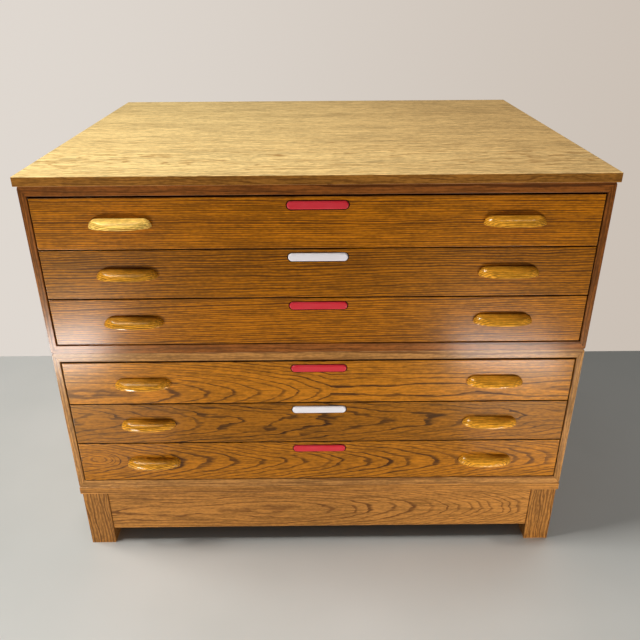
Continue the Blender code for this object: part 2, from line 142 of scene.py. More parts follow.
def noise_at(tree, place, stretch, seed, detail=2.0):
    """Soft noise from 0 to 1, with its own number of waves per metre along each axis."""
    moved = vector_of(tree, "ADD", vector_of(tree, "MULTIPLY", place, stretch), seed)
    feeds = {"Vector": moved, "Scale": 1.0, "Detail": detail}
    return add_node(tree, "ShaderNodeTexNoise", feeds).outputs["Fac"]


def open_group(name, takes, gives):
    """A new node group with named sockets, and the sockets on the inside."""
    group = bpy.data.node_groups.new(name, "ShaderNodeTree")
    for label, start in takes.items():
        kind = {float: "NodeSocketFloat", tuple: "NodeSocketVector", list: "NodeSocketColor"}[type(start)]
        group.interface.new_socket(label, in_out="INPUT", socket_type=kind).default_value = start
    for label, kind in gives.items():
        group.interface.new_socket(label, in_out="OUTPUT", socket_type=kind)
    return group, group.nodes.new("NodeGroupInput").outputs, group.nodes.new("NodeGroupOutput").inputs


def place_group(tree, group, feeds):
    """Place a group in a material, feed its named sockets, and give its outputs."""
    node = tree.nodes.new("ShaderNodeGroup")
    node.node_tree = group
    for socket, source in feeds.items():
        join(tree, source, node.inputs[socket])
    return node.outputs


# %% [markdown]
# ## Growth rings
#
# Oak has a band of large pores at the start of each year's ring. Stain darkens that band, and the way a
# board is sawn decides what it looks like: near the middle of the log the rings make pointed arches,
# and far from it they make straight lines. A picture of wood could give this, but here the log itself
# is described. A ring is the distance from the log's heart, so one group makes arches, straight lines
# and end grain alike, and it runs through the rounded pulls as real wood does.
#
# The heart leans and bows along the board, which opens or closes the arches, but only from the near limit
# to the far one: past them the lines run straight. Noise makes the rings wander, and a knot pulls them
# into ovals.

# %% The growth ring group
rings, ring_in, ring_out = open_group(
    "oak_rings",
    {"Place": (0.0, 0.0, 0.0), "Heart": (0.0, 0.0, -0.08), "Ring Width": 0.0045, "Lean": 0.04, "Bow": 0.0,
     "Near Limit": -9.0, "Far Limit": 9.0, "Wander": 0.02, "Band": 0.12, "Knot": (0.0, 0.0, 0.0),
     "Knot Size": 0.02, "Knot Pull": 0.0, "Seed": (0.0, 0.0, 0.0)},
    {"Early Wood": "NodeSocketFloat", "Pores": "NodeSocketFloat", "Tone": "NodeSocketFloat",
     "Flecks": "NodeSocketFloat"})

# Waves per metre along the grain, across the face and into the board.
long_waves = (1.7, 8.0, 8.0)
short_waves = (11.0, 46.0, 46.0)
fibre_waves = (20.0, 300.0, 300.0)
streak_waves = (17.0, 400.0, 400.0)
speck_waves = (85.0, 240.0, 240.0)
cloud_waves = (9.0, 90.0, 90.0)
break_waves = (14.0, 130.0, 130.0)
pore_waves = (45.0, 820.0, 820.0)
fleck_waves = (75.0, 300.0, 120.0)
tone_waves = (3.0, 14.0, 14.0)


def ring_noise(waves, detail=2.0):
    """Noise over a board, with the board's own seed."""
    return noise_at(rings, ring_in["Place"], waves, ring_in["Seed"], detail)


# %% Count the years from the heart to each place
across_grain = (0.0, 1.0, 1.0)
noise_middle = 0.5
fine_drift_share = 0.30
knot_squash = (0.55, 1.0, 0.0)
slow_rate = 0.31
slow_reach = 1.5
fibre_reach = 0.22

from_heart = vector_of(rings, "SUBTRACT", ring_in["Place"], ring_in["Heart"])
along = add_node(rings, "ShaderNodeSeparateXYZ", {0: from_heart}).outputs[0]
radius = vector_of(rings, "LENGTH", vector_of(rings, "MULTIPLY", from_heart, across_grain))
limits = {"Value": along, "Min": ring_in["Near Limit"], "Max": ring_in["Far Limit"]}
reach = add_node(rings, "ShaderNodeClamp", limits).outputs[0]
leaned = sum_of(rings, "MULTIPLY_ADD", reach, ring_in["Lean"], radius)
bowed = sum_of(rings, "MULTIPLY_ADD", sum_of(rings, "MULTIPLY", reach, reach), ring_in["Bow"], leaned)

wide_drift = sum_of(rings, "SUBTRACT", ring_noise(long_waves), noise_middle)
fine_drift = sum_of(rings, "SUBTRACT", ring_noise(short_waves), noise_middle)
drift = sum_of(rings, "MULTIPLY_ADD", fine_drift, fine_drift_share, wide_drift)
drifted = sum_of(rings, "MULTIPLY_ADD", drift, ring_in["Wander"], bowed)

from_knot = vector_of(rings, "SUBTRACT", ring_in["Place"], ring_in["Knot"])
knot_place = vector_of(rings, "MULTIPLY", from_knot, knot_squash)
knot_reach = sum_of(rings, "DIVIDE", vector_of(rings, "LENGTH", knot_place), ring_in["Knot Size"])
knot_reach_squared = sum_of(rings, "MULTIPLY", knot_reach, knot_reach)
knot_hump = sum_of(rings, "EXPONENT", sum_of(rings, "MULTIPLY", knot_reach_squared, -1.0))
knotted = sum_of(rings, "MULTIPLY_ADD", knot_hump, ring_in["Knot Pull"], drifted)

years = sum_of(rings, "DIVIDE", knotted, ring_in["Ring Width"])
slow_years = sum_of(rings, "MULTIPLY", years, slow_rate)
lean_years = add_node(rings, "ShaderNodeTexNoise", {"W": slow_years, "Scale": 1.0},
                      noise_dimensions="1D").outputs["Fac"]
fibre = ring_noise(fibre_waves, detail=3.0)
aged = sum_of(rings, "MULTIPLY_ADD", lean_years, slow_reach, years)
ragged = sum_of(rings, "MULTIPLY_ADD", fibre, fibre_reach, aged)

# %% Turn the years into dark bands, pores and flecks
band_rise = 0.07
band_fade = (1.6, 0.12)
band_depths = (0.45, 0.55)
break_range = (0.34, 0.54, 0.65, 1.0)
pore_edge = (0.56, 0.68)
pore_shares = (0.85, 0.15)
fleck_edge = (0.60, 0.70)

year = sum_of(rings, "FLOOR", ragged)
season = sum_of(rings, "SUBTRACT", ragged, year)
year_mark = add_node(rings, "ShaderNodeTexWhiteNoise", {"W": year}, noise_dimensions="1D").outputs["Value"]
band_start = ease(rings, season, 0.0, band_rise)
band_close = sum_of(rings, "MULTIPLY_ADD", ring_in["Band"], *band_fade)
band_end = ease(rings, season, ring_in["Band"], band_close, 1.0, 0.0)
band = sum_of(rings, "MULTIPLY", band_start, band_end)
band_depth = sum_of(rings, "MULTIPLY_ADD", year_mark, *band_depths)
breaks = ring_noise(break_waves)
unbroken = sum_of(rings, "MULTIPLY", band, band_depth)
early_wood = sum_of(rings, "MULTIPLY", unbroken, ease(rings, breaks, *break_range))
join(rings, early_wood, ring_out["Early Wood"])

pore_spots = ease(rings, ring_noise(pore_waves, detail=1.0), *pore_edge)
pore_share = sum_of(rings, "MULTIPLY_ADD", band, *pore_shares)
join(rings, sum_of(rings, "MULTIPLY", pore_spots, pore_share), ring_out["Pores"])
join(rings, ease(rings, ring_noise(fleck_waves, detail=1.0), *fleck_edge), ring_out["Flecks"])

# %% Let the tone of the wood vary
tone_share = 0.16
cloud_share = 0.14
streak_share = 0.45
speck_share = 0.25

tone_drift = ring_noise(tone_waves)
streaks = ring_noise(streak_waves, detail=3.0)
specks = ring_noise(speck_waves, detail=1.0)
clouds = ring_noise(cloud_waves, detail=1.0)
broad = sum_of(rings, "MULTIPLY_ADD", clouds, cloud_share, sum_of(rings, "MULTIPLY", tone_drift, tone_share))
fine = sum_of(rings, "MULTIPLY_ADD", specks, speck_share, sum_of(rings, "MULTIPLY", streaks, streak_share))
join(rings, sum_of(rings, "ADD", broad, fine), ring_out["Tone"])
print("ring group:", len(rings.nodes), "nodes")

# %% [markdown]
# ## Worn edges
#
# Lacquer thins first along the arrises of a board, where hands and cloths pass, so old oak has a thin
# pale line there. A board is close to a box, and a point lies near an arris when its second smallest
# distance to the box's faces is small. That needs only the board's own half size, so the group works on
# every board.

# %% The worn edge group
wear, wear_in, wear_out = open_group(
    "worn_edges",
    {"Place": (0.0, 0.0, 0.0), "Half Size": (0.1, 0.1, 0.1), "Width": 0.002, "Seed": (0.0, 0.0, 0.0)},
    {"Wear": "NodeSocketFloat"})
rub_waves = (23.0, 23.0, 23.0)
rub_edge = (0.35, 0.60)

room = vector_of(wear, "SUBTRACT", wear_in["Half Size"], vector_of(wear, "ABSOLUTE", wear_in["Place"]))
room_x, room_y, room_z = add_node(wear, "ShaderNodeSeparateXYZ", {0: room}).outputs
nearest = sum_of(wear, "MINIMUM", room_x, room_y)
other = sum_of(wear, "MINIMUM", sum_of(wear, "MAXIMUM", room_x, room_y), room_z)
second = sum_of(wear, "MAXIMUM", nearest, other)
at_arris = sum_of(wear, "SUBTRACT", 1.0, ease(wear, second, 0.0, wear_in["Width"]))
rub = noise_at(wear, wear_in["Place"], rub_waves, wear_in["Seed"])
join(wear, sum_of(wear, "MULTIPLY", at_arris, ease(wear, rub, *rub_edge)), wear_out["Wear"])
print("wear group:", len(wear.nodes), "nodes")

# %% [markdown]
# ## Stain and lacquer
#
# The rings say where the wood is open and where it is dense. A stain then makes the dense wood amber and
# the open wood dark brown. The last group turns the masks into a colour, a roughness and a height. The
# height stays small, because the lacquer has filled all but the largest pores.

# %% The stain group
stain, stain_in, stain_out = open_group(
    "oak_stain",
    {"Early Wood": 0.0, "Pores": 0.0, "Tone": 0.5, "Flecks": 0.0, "Wear": 0.0,
     "Light Wood": [0.4, 0.2, 0.05, 1.0], "Dark Wood": [0.1, 0.03, 0.01, 1.0], "Fleck Share": 0.0,
     "Gloss": 0.36},
    {"Colour": "NodeSocketColor", "Roughness": "NodeSocketFloat", "Height": "NodeSocketFloat"})
tone_range = (0.39, 0.61, 0.60, 1.32)
pore_darkness = 0.55
wear_strength = 0.45
bare_wood_gain = (0.16, 0.11, 0.06, 1.0)
open_dullness = 0.10
open_dip = 0.5
pore_dip = 0.5

tone_gain = ease(stain, stain_in["Tone"], *tone_range)
tone_grey = add_node(stain, "ShaderNodeCombineXYZ", {0: tone_gain, 1: tone_gain, 2: tone_gain}).outputs[0]
toned = blend_colours(stain, 1.0, stain_in["Light Wood"], tone_grey, "MULTIPLY")
fleck_dark = sum_of(stain, "MULTIPLY", stain_in["Flecks"], stain_in["Fleck Share"])
open_share = sum_of(stain, "MAXIMUM", stain_in["Early Wood"], fleck_dark)
banded = blend_colours(stain, open_share, toned, stain_in["Dark Wood"])
pore_dark = sum_of(stain, "MULTIPLY", stain_in["Pores"], pore_darkness)
pored = blend_colours(stain, pore_dark, banded, stain_in["Dark Wood"])
wear_share = sum_of(stain, "MULTIPLY", stain_in["Wear"], wear_strength)
bare_wood = blend_colours(stain, 1.0, stain_in["Light Wood"], bare_wood_gain, "ADD")
join(stain, blend_colours(stain, wear_share, pored, bare_wood), stain_out["Colour"])

dulled = sum_of(stain, "MULTIPLY_ADD", stain_in["Early Wood"], open_dullness, stain_in["Gloss"])
join(stain, dulled, stain_out["Roughness"])
pores_sunk = sum_of(stain, "MULTIPLY", stain_in["Pores"], pore_dip)
all_sunk = sum_of(stain, "MULTIPLY_ADD", stain_in["Early Wood"], open_dip, pores_sunk)
join(stain, sum_of(stain, "SUBTRACT", 1.0, all_sunk), stain_out["Height"])
print("stain group:", len(stain.nodes), "nodes")

# %% [markdown]
# ## One board's material
#
# Every visible board gets its own material, because no two boards come from the same part of a log.
# The material puts the three groups in a row. It first centres the pattern on the board and turns it so
# that the grain runs along the board. The shader, its coat of lacquer and the bump stay in the material
# itself, where an export can read them.

# %% Stains and the ways that boards lie
def oak_stain(light, dark, gloss):
    """A stain: the colours of dense wood and open wood, and how rough its lacquer is."""
    return {"Light Wood": (*light, 1), "Dark Wood": (*dark, 1), "Gloss": gloss}


stains = {
    "top": oak_stain((0.74, 0.53, 0.215), (0.38, 0.21, 0.06), 0.34),
    # Painted shade: the top turns darker and redder towards its right end, away from the light.
    "top_painted_far_shade": oak_stain((0.68, 0.43, 0.160), (0.31, 0.15, 0.04), 0.34),
    "top_edge": oak_stain((0.32, 0.130, 0.020), (0.13, 0.040, 0.005), 0.36),
    "upper_case": oak_stain((0.26, 0.078, 0.012), (0.075, 0.017, 0.002), 0.36),
    "lower_case": oak_stain((0.40, 0.180, 0.045), (0.15, 0.051, 0.011), 0.38),
    "amber_front": oak_stain((0.41, 0.133, 0.002), (0.080, 0.018, 0.001), 0.34),
    "figured_front": oak_stain((0.48, 0.166, 0.006), (0.060, 0.015, 0.002), 0.34),
    # Not a stain: a near-black painted shade for the edges behind the fronts, where the gaps fall dark.
    "painted_gap_shade": oak_stain((0.060, 0.019, 0.005), (0.024, 0.008, 0.002), 0.50),
    "base": oak_stain((0.42, 0.175, 0.034), (0.13, 0.043, 0.009), 0.40),
    "leg": oak_stain((0.35, 0.145, 0.028), (0.11, 0.036, 0.008), 0.40),
    "pull": oak_stain((0.66, 0.290, 0.022), (0.085, 0.024, 0.003), 0.26),
    # The top left pull is paler: partly its own paler wood, partly painted light for the light that falls on
    # it alone.
    "pale_and_lit_pull": oak_stain((0.92, 0.600, 0.130), (0.36, 0.150, 0.015), 0.26),
    # Not a stain: a near-black painted shade for the walls of the tab's pocket, where shade falls round the
    # tab.
    "pocket": oak_stain((0.03, 0.010, 0.003), (0.015, 0.005, 0.002), 0.50),
    "drawer_box": oak_stain((0.60, 0.42, 0.23), (0.36, 0.22, 0.10), 0.52),
    "ply": oak_stain((0.66, 0.50, 0.31), (0.48, 0.33, 0.18), 0.55),
}
lying = {
    "across_front": ((1, 0, 0), (0, 0, 1), (0, -1, 0)),
    "flat": ((1, 0, 0), (0, 1, 0), (0, 0, 1)),
    "upright": ((0, 0, 1), (0, 1, 0), (-1, 0, 0)),
    "front_to_back": ((0, 1, 0), (0, 0, 1), (1, 0, 0)),
}
lacquer_coat = {"top": 0.25, "pull": 0.6, "pale_and_lit_pull": 0.6, "drawer_box": 0.0, "ply": 0.0}
usual_coat = 0.30
coat_roughness = 0.20
pull_coat_roughness = 0.15
specular_level = 0.25
specular_tint = (1.0, 0.70, 0.25, 1)
grain_bump = {"Strength": 0.5, "Distance": 0.0004}
far_shade_limits = (0.9, 1.1)
below_top_limits = (0.0016, 0.0004)
behind_front_shade_limits = (0.0007, 0.0022)
print("stains:", len(stains), "ways to lie:", list(lying))

# %% Build one board's material


def tinted(stain_name, label, shade):
    """One colour of a stain, made lighter or darker."""
    red, green, blue, alpha = stains[stain_name][label]
    return (red * shade, green * shade, blue * shade, alpha)


def oak_material(name, stain_name, way, low, high, figure, fleck_share=0.0, edge_stain_or_shade=None, far_painted_shade=None,
                 shade=1.0):
    """Stained oak for a board between two corners, with its grain lying one way and its own figure.

    A far painted shade, darker and redder, takes over towards the right end, where less light falls. An
    edge stain or shade is for the parts that the main face doesn't show: below a top it is the edge's own
    stain, and behind a front it is a near-black painted shade for the dark gaps between the drawers.
    """
    low, high = Vector(low), Vector(high)
    centre = (low + high) / 2
    material = bpy.data.materials.new(name)
    material.use_nodes = True
    tree = material.node_tree
    shader = tree.nodes["Principled BSDF"]

    place = add_node(tree, "ShaderNodeTexCoord").outputs["Object"]
    centred = add_node(tree, "ShaderNodeMapping", {"Vector": place, "Location": -centre}).outputs[0]
    turn = Matrix(lying[way]).to_euler()
    turned = add_node(tree, "ShaderNodeMapping", {"Vector": centred, "Rotation": turn}).outputs[0]
    ring_marks = place_group(tree, rings, {"Place": turned, **figure})
    arris = place_group(tree, wear, {"Place": centred, "Half Size": (high - low) / 2, "Seed": figure["Seed"]})
    marks = {label: ring_marks[label] for label in ("Early Wood", "Pores", "Tone", "Flecks")}
    colours = {"Gloss": stains[stain_name]["Gloss"]}
    across, depth, height = add_node(tree, "ShaderNodeSeparateXYZ", {0: place}).outputs
    if edge_stain_or_shade and way == "flat":
        start, end = below_top_limits
        hidden = ease(tree, height, high.z - start, high.z - end, 1.0, 0.0)
    elif edge_stain_or_shade:
        # Behind a front, from partway round its rounded arris, a painted shade darkens the gaps.
        start, end = behind_front_shade_limits
        hidden = ease(tree, depth, low.y + start, low.y + end)
    for label in ("Light Wood", "Dark Wood"):
        colours[label] = tinted(stain_name, label, shade)
        # Towards the right end a painted shade takes over.
        if far_painted_shade:
            share = ease(tree, across, low.x * far_shade_limits[0], high.x * far_shade_limits[1])
            colours[label] = blend_colours(tree, share, colours[label], tinted(far_painted_shade, label, shade))
        if edge_stain_or_shade:
            colours[label] = blend_colours(tree, hidden, colours[label], tinted(edge_stain_or_shade, label, 1.0))
    finish = place_group(tree, stain, {**marks, "Wear": arris["Wear"], "Fleck Share": fleck_share, **colours})
    bump = add_node(tree, "ShaderNodeBump", {"Height": finish["Height"], **grain_bump})
    join(tree, finish["Colour"], shader.inputs["Base Color"])
    join(tree, finish["Roughness"], shader.inputs["Roughness"])
    join(tree, bump.outputs[0], shader.inputs["Normal"])
    shader.inputs["Specular IOR Level"].default_value = specular_level
    shader.inputs["Specular Tint"].default_value = specular_tint
    shader.inputs["Coat Weight"].default_value = lacquer_coat.get(stain_name, usual_coat)
    roughness = pull_coat_roughness if "pull" in stain_name else coat_roughness
    shader.inputs["Coat Roughness"].default_value = roughness
    return material


# %% [markdown]
# ## Figure of each board
#
# The upper drawers have straight, close lines, so their boards come from far beside the heart. The lower
# drawers and the apron have bold pointed arches, so theirs come from close above it. The numbers place
# the heart of the log against the middle of each board, in metres.

# %% Figures for the drawer fronts
straight = {"Heart": (0.0, -0.32, -0.22), "Ring Width": 0.0037, "Lean": 0.004, "Wander": 0.010, "Band": 0.30}
arched = {"Heart": (0.0, -0.004, -0.050), "Ring Width": 0.0054, "Lean": 0.10, "Wander": 0.022, "Band": 0.22}
front_figures = {
    1: {**straight, "Seed": (3.1, 0.2, 1.7)},
    2: {**straight, "Heart": (0.0, -0.26, -0.20), "Lean": -0.010, "Ring Width": 0.0048, "Wander": 0.016,
        "Seed": (8.3, 5.1, 0.4)},
    3: {**straight, "Heart": (0.0, 0.30, -0.24), "Lean": 0.018, "Ring Width": 0.0040,
        "Seed": (1.9, 7.7, 6.2)},
    4: {**arched, "Heart": (0.0, -0.026, -0.060), "Lean": 0.12, "Bow": 0.10, "Far Limit": 0.03,
        "Wander": 0.014, "Band": 0.13, "Seed": (2.5, 6.3, 1.1)},
    5: {**arched, "Heart": (0.0, 0.010, -0.070), "Ring Width": 0.0058, "Lean": 0.060, "Wander": 0.034,
        "Band": 0.15, "Seed": (0.6, 4.4, 3.8)},
    6: {**arched, "Knot": (-0.559, 0.012, 0.0), "Knot Size": 0.022, "Knot Pull": -0.016, "Band": 0.17,
        "Seed": (7.2, 1.1, 2.9)},
}
front_shades = {1: 1.16, 2: 0.90, 3: 1.05, 4: 0.95, 5: 0.62, 6: 0.83}
print("drawer figures:", len(front_figures))

# %% [markdown]
# ## Modelling by hand: selecting and shaping
#
# The CAD fronts have the right size, but their pulls are made of a few flat facets. Finer ones are modelled
# with the same tools that a person would use: a block is added and its edges are bevelled, a pull is
# extruded layer by layer, and cutters take away the tab's pocket, the dovetail sockets and the groove. A
# cut can be made with the knife or by moving points, but a cutter and a Boolean modifier keep curved mouths
# exact.

# %% Helpers for modelling


def start_fresh():
    """Leave edit mode and select nothing."""
    if bpy.context.mode != "OBJECT":
        bpy.ops.object.mode_set(mode="OBJECT")
    bpy.ops.object.select_all(action="DESELECT")


def make_active(piece):
    """Select this piece alone and make it the one that operators work on."""
    start_fresh()
    piece.select_set(True)
    bpy.context.view_layer.objects.active = piece


def block(name, low, high):
    """A block between two corners, with its place in its mesh."""
    start_fresh()
    low, high = Vector(low), Vector(high)
    bpy.ops.mesh.primitive_cube_add(size=1.0, location=(low + high) / 2)
    piece = bpy.context.active_object
    piece.name = name
    piece.scale = high - low
    bpy.ops.object.transform_apply(location=True, rotation=True, scale=True)
    return piece


def select_parts(piece, kind, wanted):
    """Go to edit mode with only the wanted points or edges of the piece selected."""
    make_active(piece)
    bpy.ops.object.mode_set(mode="EDIT")
    bpy.ops.mesh.select_mode(type=kind)
    bpy.ops.mesh.select_all(action="DESELECT")
    bpy.ops.object.mode_set(mode="OBJECT")
    mesh = piece.data
    if kind == "VERT":
        picked = [vert for vert in mesh.vertices if wanted(vert.co)]
    else:
        ends = [vert.co for vert in mesh.vertices]
        picked = [edge for edge in mesh.edges if wanted(ends[edge.vertices[0]], ends[edge.vertices[1]])]
    for part in picked:
        part.select = True
    bpy.ops.object.mode_set(mode="EDIT")
    return len(picked)


def apply_modifier(piece, kind, **settings):
    """Add a modifier, set it and apply it."""
    make_active(piece)
    modifier = piece.modifiers.new(kind.lower(), kind)
    for name, value in settings.items():
        setattr(modifier, name, value)
    bpy.ops.object.modifier_apply(modifier=modifier.name)


def cut_away(piece, cutter):
    """Take the cutter's shape out of the piece, and give the cut faces the cutter's material."""
    apply_modifier(piece, "BOOLEAN", operation="DIFFERENCE", solver="EXACT", object=cutter,
                   material_mode="TRANSFER")
    bpy.data.objects.remove(cutter, do_unlink=True)


def smooth_by_face(piece, angle):
    """Shade curved parts smooth, and keep the large flat faces flat."""
    make_active(piece)
    bpy.ops.object.shade_smooth_by_angle(angle=angle)
    apply_modifier(piece, "WEIGHTED_NORMAL", keep_sharp=True)


def copy_piece(piece, name, shift):
    """A copy with its own mesh, moved inside that mesh."""
    make_active(piece)
    bpy.ops.object.duplicate()
    copy = bpy.context.active_object
    copy.name = name
    copy.location = shift
    bpy.ops.object.transform_apply(location=True, rotation=True, scale=True)
    return copy


# %% [markdown]
# ## A wooden pull
#
# A pull is a long wooden half dome glued to the front. Seen from the front it is half a pill: flat below,
# round at its ends. It starts as a circle whose halves are drawn apart into a whole pill. The pill is
# extruded outwards in thin layers, and each layer is resized, so that the outline closes in along a curve.
# Then a plane cuts the lower half off, the sharp lower rim is bevelled, and a cutter made in the same way
# hollows out the grip for the fingertips underneath. The points of the circle are set half a step off the
# axes, which keeps the long sides straight.

# %% Measure the fronts
front_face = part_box("upper_case_left_side")[0].y


def board_box(number):
    """The corners of one drawer's front board, without its pulls."""
    low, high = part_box(f"drawer_{number}_front")
    return Vector((low.x, front_face, low.z)), Vector(high)


front_low, front_high = board_box(1)
front_middle = (front_low.z + front_high.z) / 2
pull_offset = 0.425
pull_length = 0.136
pull_rise = 0.019
pull_reach = front_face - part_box("drawer_1_front")[0].y
pull_drop = 0.0058
pull_low = front_middle - pull_drop
pull_sink = 0.0005
pull_tip_angle = math.radians(87)
pull_plan_power = 2.3
pull_layers = 20
pull_points = 72
pull_rim = 0.0009
pull_rim_segments = 3
pull_smooth_angle = math.radians(40)
grip_length = 0.106
grip_width = 0.016
grip_wall = 0.0045
grip_height = 0.0085
grip_roof_angle = math.radians(84)
grip_layers = 8
grip_points = 32
cutter_overrun = 0.002
same_plane = 1e-5
off_front = 1e-4
print("front:", [round(size * 1000, 1) for size in front_high - front_low], "mm, pull reach:",
      round(pull_reach * 1000, 1))

# %% Helpers for shapes in layers


def pill_start(name, centre, length, height, points, facing="front"):
    """A flat pill that faces the front or the floor, as one face, left in edit mode and selected."""
    half_step = math.pi / points
    turn = (math.pi / 2, half_step, 0) if facing == "front" else (0, 0, half_step)
    start_fresh()
    bpy.ops.mesh.primitive_circle_add(vertices=points, radius=height / 2, fill_type="NGON", location=centre,
                                      rotation=turn)
    pill = bpy.context.active_object
    pill.name = name
    bpy.ops.object.transform_apply(location=True, rotation=True, scale=True)
    for side in (-1, 1):
        select_parts(pill, "VERT", lambda co: (co.x - centre[0]) * side > 0)
        bpy.ops.transform.translate(value=(side * (length - height) / 2, 0, 0))
    bpy.ops.mesh.select_all(action="SELECT")
    return pill


def next_layer(step, stretch, centre):
    """Extrude the selected face by a step, and resize it about a centre."""
    bpy.ops.mesh.extrude_region_move(TRANSFORM_OT_translate={"value": step})
    bpy.ops.transform.resize(value=stretch, center_override=centre)


def close_solid():
    """Turn all faces of the piece outwards."""
    bpy.ops.mesh.select_all(action="SELECT")
    bpy.ops.mesh.normals_make_consistent(inside=False)


# %% The cutter for the grip
def grip_cutter(x):
    """The hollow for the fingertips as a closed solid, narrowing upwards in layers."""
    y = front_face - grip_wall - grip_width / 2
    z, length, width = pull_low - cutter_overrun, grip_length, grip_width
    cutter = pill_start("grip_cutter", (x, y, z), length, width, grip_points, "floor")
    for layer in range(grip_layers + 1):
        angle = grip_roof_angle * layer / grip_layers
        inset = grip_width * (1 - math.cos(angle))
        new_z = pull_low + grip_height * math.sin(angle)
        stretch = ((grip_length - inset) / length, (grip_width - inset) / width, 1)
        next_layer((0, 0, new_z - z), stretch, (x, y, new_z))
        z, length, width = new_z, grip_length - inset, grip_width - inset
    close_solid()
    return cutter


# %% Build the first pull
def on_rim(start, end):
    """True for the edges around a pull's flat underside, but not for the one on the front."""
    level = max(abs(start.z - pull_low), abs(end.z - pull_low)) < same_plane
    return level and min(start.y, end.y) < front_face - off_front


first_pull = pill_start("drawer_1_left_pull", (-pull_offset, front_face + pull_sink, pull_low), pull_length,
                        2 * pull_rise, pull_points)
depth, wide, tall = -pull_sink, 1.0, 1.0
for layer in range(pull_layers + 1):
    share = math.sin(pull_tip_angle * layer / pull_layers)
    new_wide = (1 - share ** pull_plan_power) ** (1 / pull_plan_power)
    new_tall = math.sqrt(1 - share ** 2)
    new_depth = pull_reach * share
    next_layer((0, depth - new_depth, 0), (new_wide / wide, 1, new_tall / tall),
               (-pull_offset, front_face - new_depth, pull_low))
    depth, wide, tall = new_depth, new_wide, new_tall
close_solid()
bpy.ops.mesh.bisect(plane_co=(0, 0, pull_low), plane_no=(0, 0, 1), use_fill=True, clear_inner=True)
picked = select_parts(first_pull, "EDGE", on_rim)
bpy.ops.mesh.bevel(offset=pull_rim, segments=pull_rim_segments)
start_fresh()
cut_away(first_pull, grip_cutter(-pull_offset))
smooth_by_face(first_pull, pull_smooth_angle)
print("rim edges:", picked, "faces of a pull:", len(first_pull.data.polygons))

# %% [markdown]
# ## The drawer front
#
# The block's front arrises are rounded first. Then come the tab's pocket, the sockets for the sides'
# dovetails and the groove for the bottom panel, each cut in turn. The work is done once, and the other
# five fronts are copies.

# %% Round the first front
arris_radius = 0.0016
arris_segments = 4
first_front = block("drawer_1_face", front_low, front_high)
front_finish = bpy.data.materials.new("front_to_come")
# The pocket's cut faces will take a near-black painted shade.
pocket_shade_finish = bpy.data.materials.new("pocket_shade_to_come")
first_front.data.materials.append(front_finish)
picked = select_parts(first_front, "EDGE", lambda a, b: max(a.y, b.y) < front_face + same_plane)
bpy.ops.mesh.bevel(offset=arris_radius, segments=arris_segments)
print("arrises rounded:", picked)

# %% Cut the tab's pocket
tab_length = 0.136
tab_height = 0.022
tab_top_margin = 0.0075
tab_pocket_depth = 0.0033
cut_play = 0.0003
pocket_points = 40

tab_top = front_high.z - tab_top_margin
pocket = pill_start("pocket_cutter", (0, front_face - cutter_overrun, tab_top - tab_height / 2),
                    tab_length + 2 * cut_play, tab_height + 2 * cut_play, pocket_points)
bpy.ops.mesh.extrude_region_move(TRANSFORM_OT_translate={"value": (0, cutter_overrun + tab_pocket_depth, 0)})
close_solid()
start_fresh()
pocket.data.materials.append(pocket_shade_finish)
cut_away(first_front, pocket)
print("faces with the pocket:", len(first_front.data.polygons))

# %% Cut the dovetail sockets
tail_count = 3
tail_lap = 0.006
tail_width_share = 0.72
tail_slope_share = 0.14
side_height = 0.095
side_rise = 0.006
side_thickness = 0.014

inner = front_high.x - side_thickness - cut_play
tip = front_low.y + tail_lap - cut_play
for side in (-1, 1):
    for tail in range(tail_count):
        middle = front_low.z + side_rise + side_height / tail_count * (tail + 0.5)
        half = tail_width_share * side_height / tail_count / 2 + cut_play
        ends = sorted((side * inner, side * (front_high.x + cutter_overrun)))
        socket = block("socket_cutter", (ends[0], tip, middle - half),
                       (ends[1], front_high.y + cutter_overrun, middle + half))
        mouth_half = half - tail_slope_share * (front_high.y + cutter_overrun - tip)
        select_parts(socket, "VERT", lambda co: co.y > front_high.y)
        bpy.ops.transform.resize(value=(1, 1, mouth_half / half), center_override=(0, front_high.y, middle))
        start_fresh()
        cut_away(first_front, socket)
print("faces with the sockets:", len(first_front.data.polygons))

# %% Cut the groove for the bottom panel
bottom_groove_depth = 0.0055
bottom_groove_low = 0.0177
bottom_groove_high = 0.0243
front_smooth_angle = math.radians(32)

cut_away(first_front, block("groove_cutter",
                            (-inner, front_high.y - bottom_groove_depth, front_low.z + bottom_groove_low),
                            (inner, front_high.y + cutter_overrun, front_low.z + bottom_groove_high)))
smooth_by_face(first_front, front_smooth_angle)
print("faces with all cuts:", len(first_front.data.polygons))

# %% [markdown]
# ## Six fronts, each from its own board
#
# The copies take their places from the CAD fronts. Each one rides on its drawer, hides the CAD front that
# it stands for, and gets its own board. A drawer's two pulls are copies too, each cut from wood of its own.

# %% Place and finish the fronts
for number, figure in front_figures.items():
    low, high = board_box(number)
    face = first_front if number == 1 else copy_piece(first_front, f"drawer_{number}_face", low - front_low)
    stain_name = "amber_front" if number < 4 else "figured_front"
    board = ("across_front", low, high, figure)
    # The fronts' edges behind the face get the near-black painted shade of the gaps.
    face.data.materials[0] = oak_material(f"drawer_{number}_oak", stain_name, *board, edge_stain_or_shade="painted_gap_shade",
                                          shade=front_shades[number])
    # The pocket's faces get the near-black painted shade.
    face.data.materials[1] = oak_material(f"drawer_{number}_pocket_oak", "pocket", *board)
    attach(face, f"drawer_{number}")
    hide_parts(f"drawer_{number}_front")
    print(face.name, "at", [round(value, 4) for value in low])

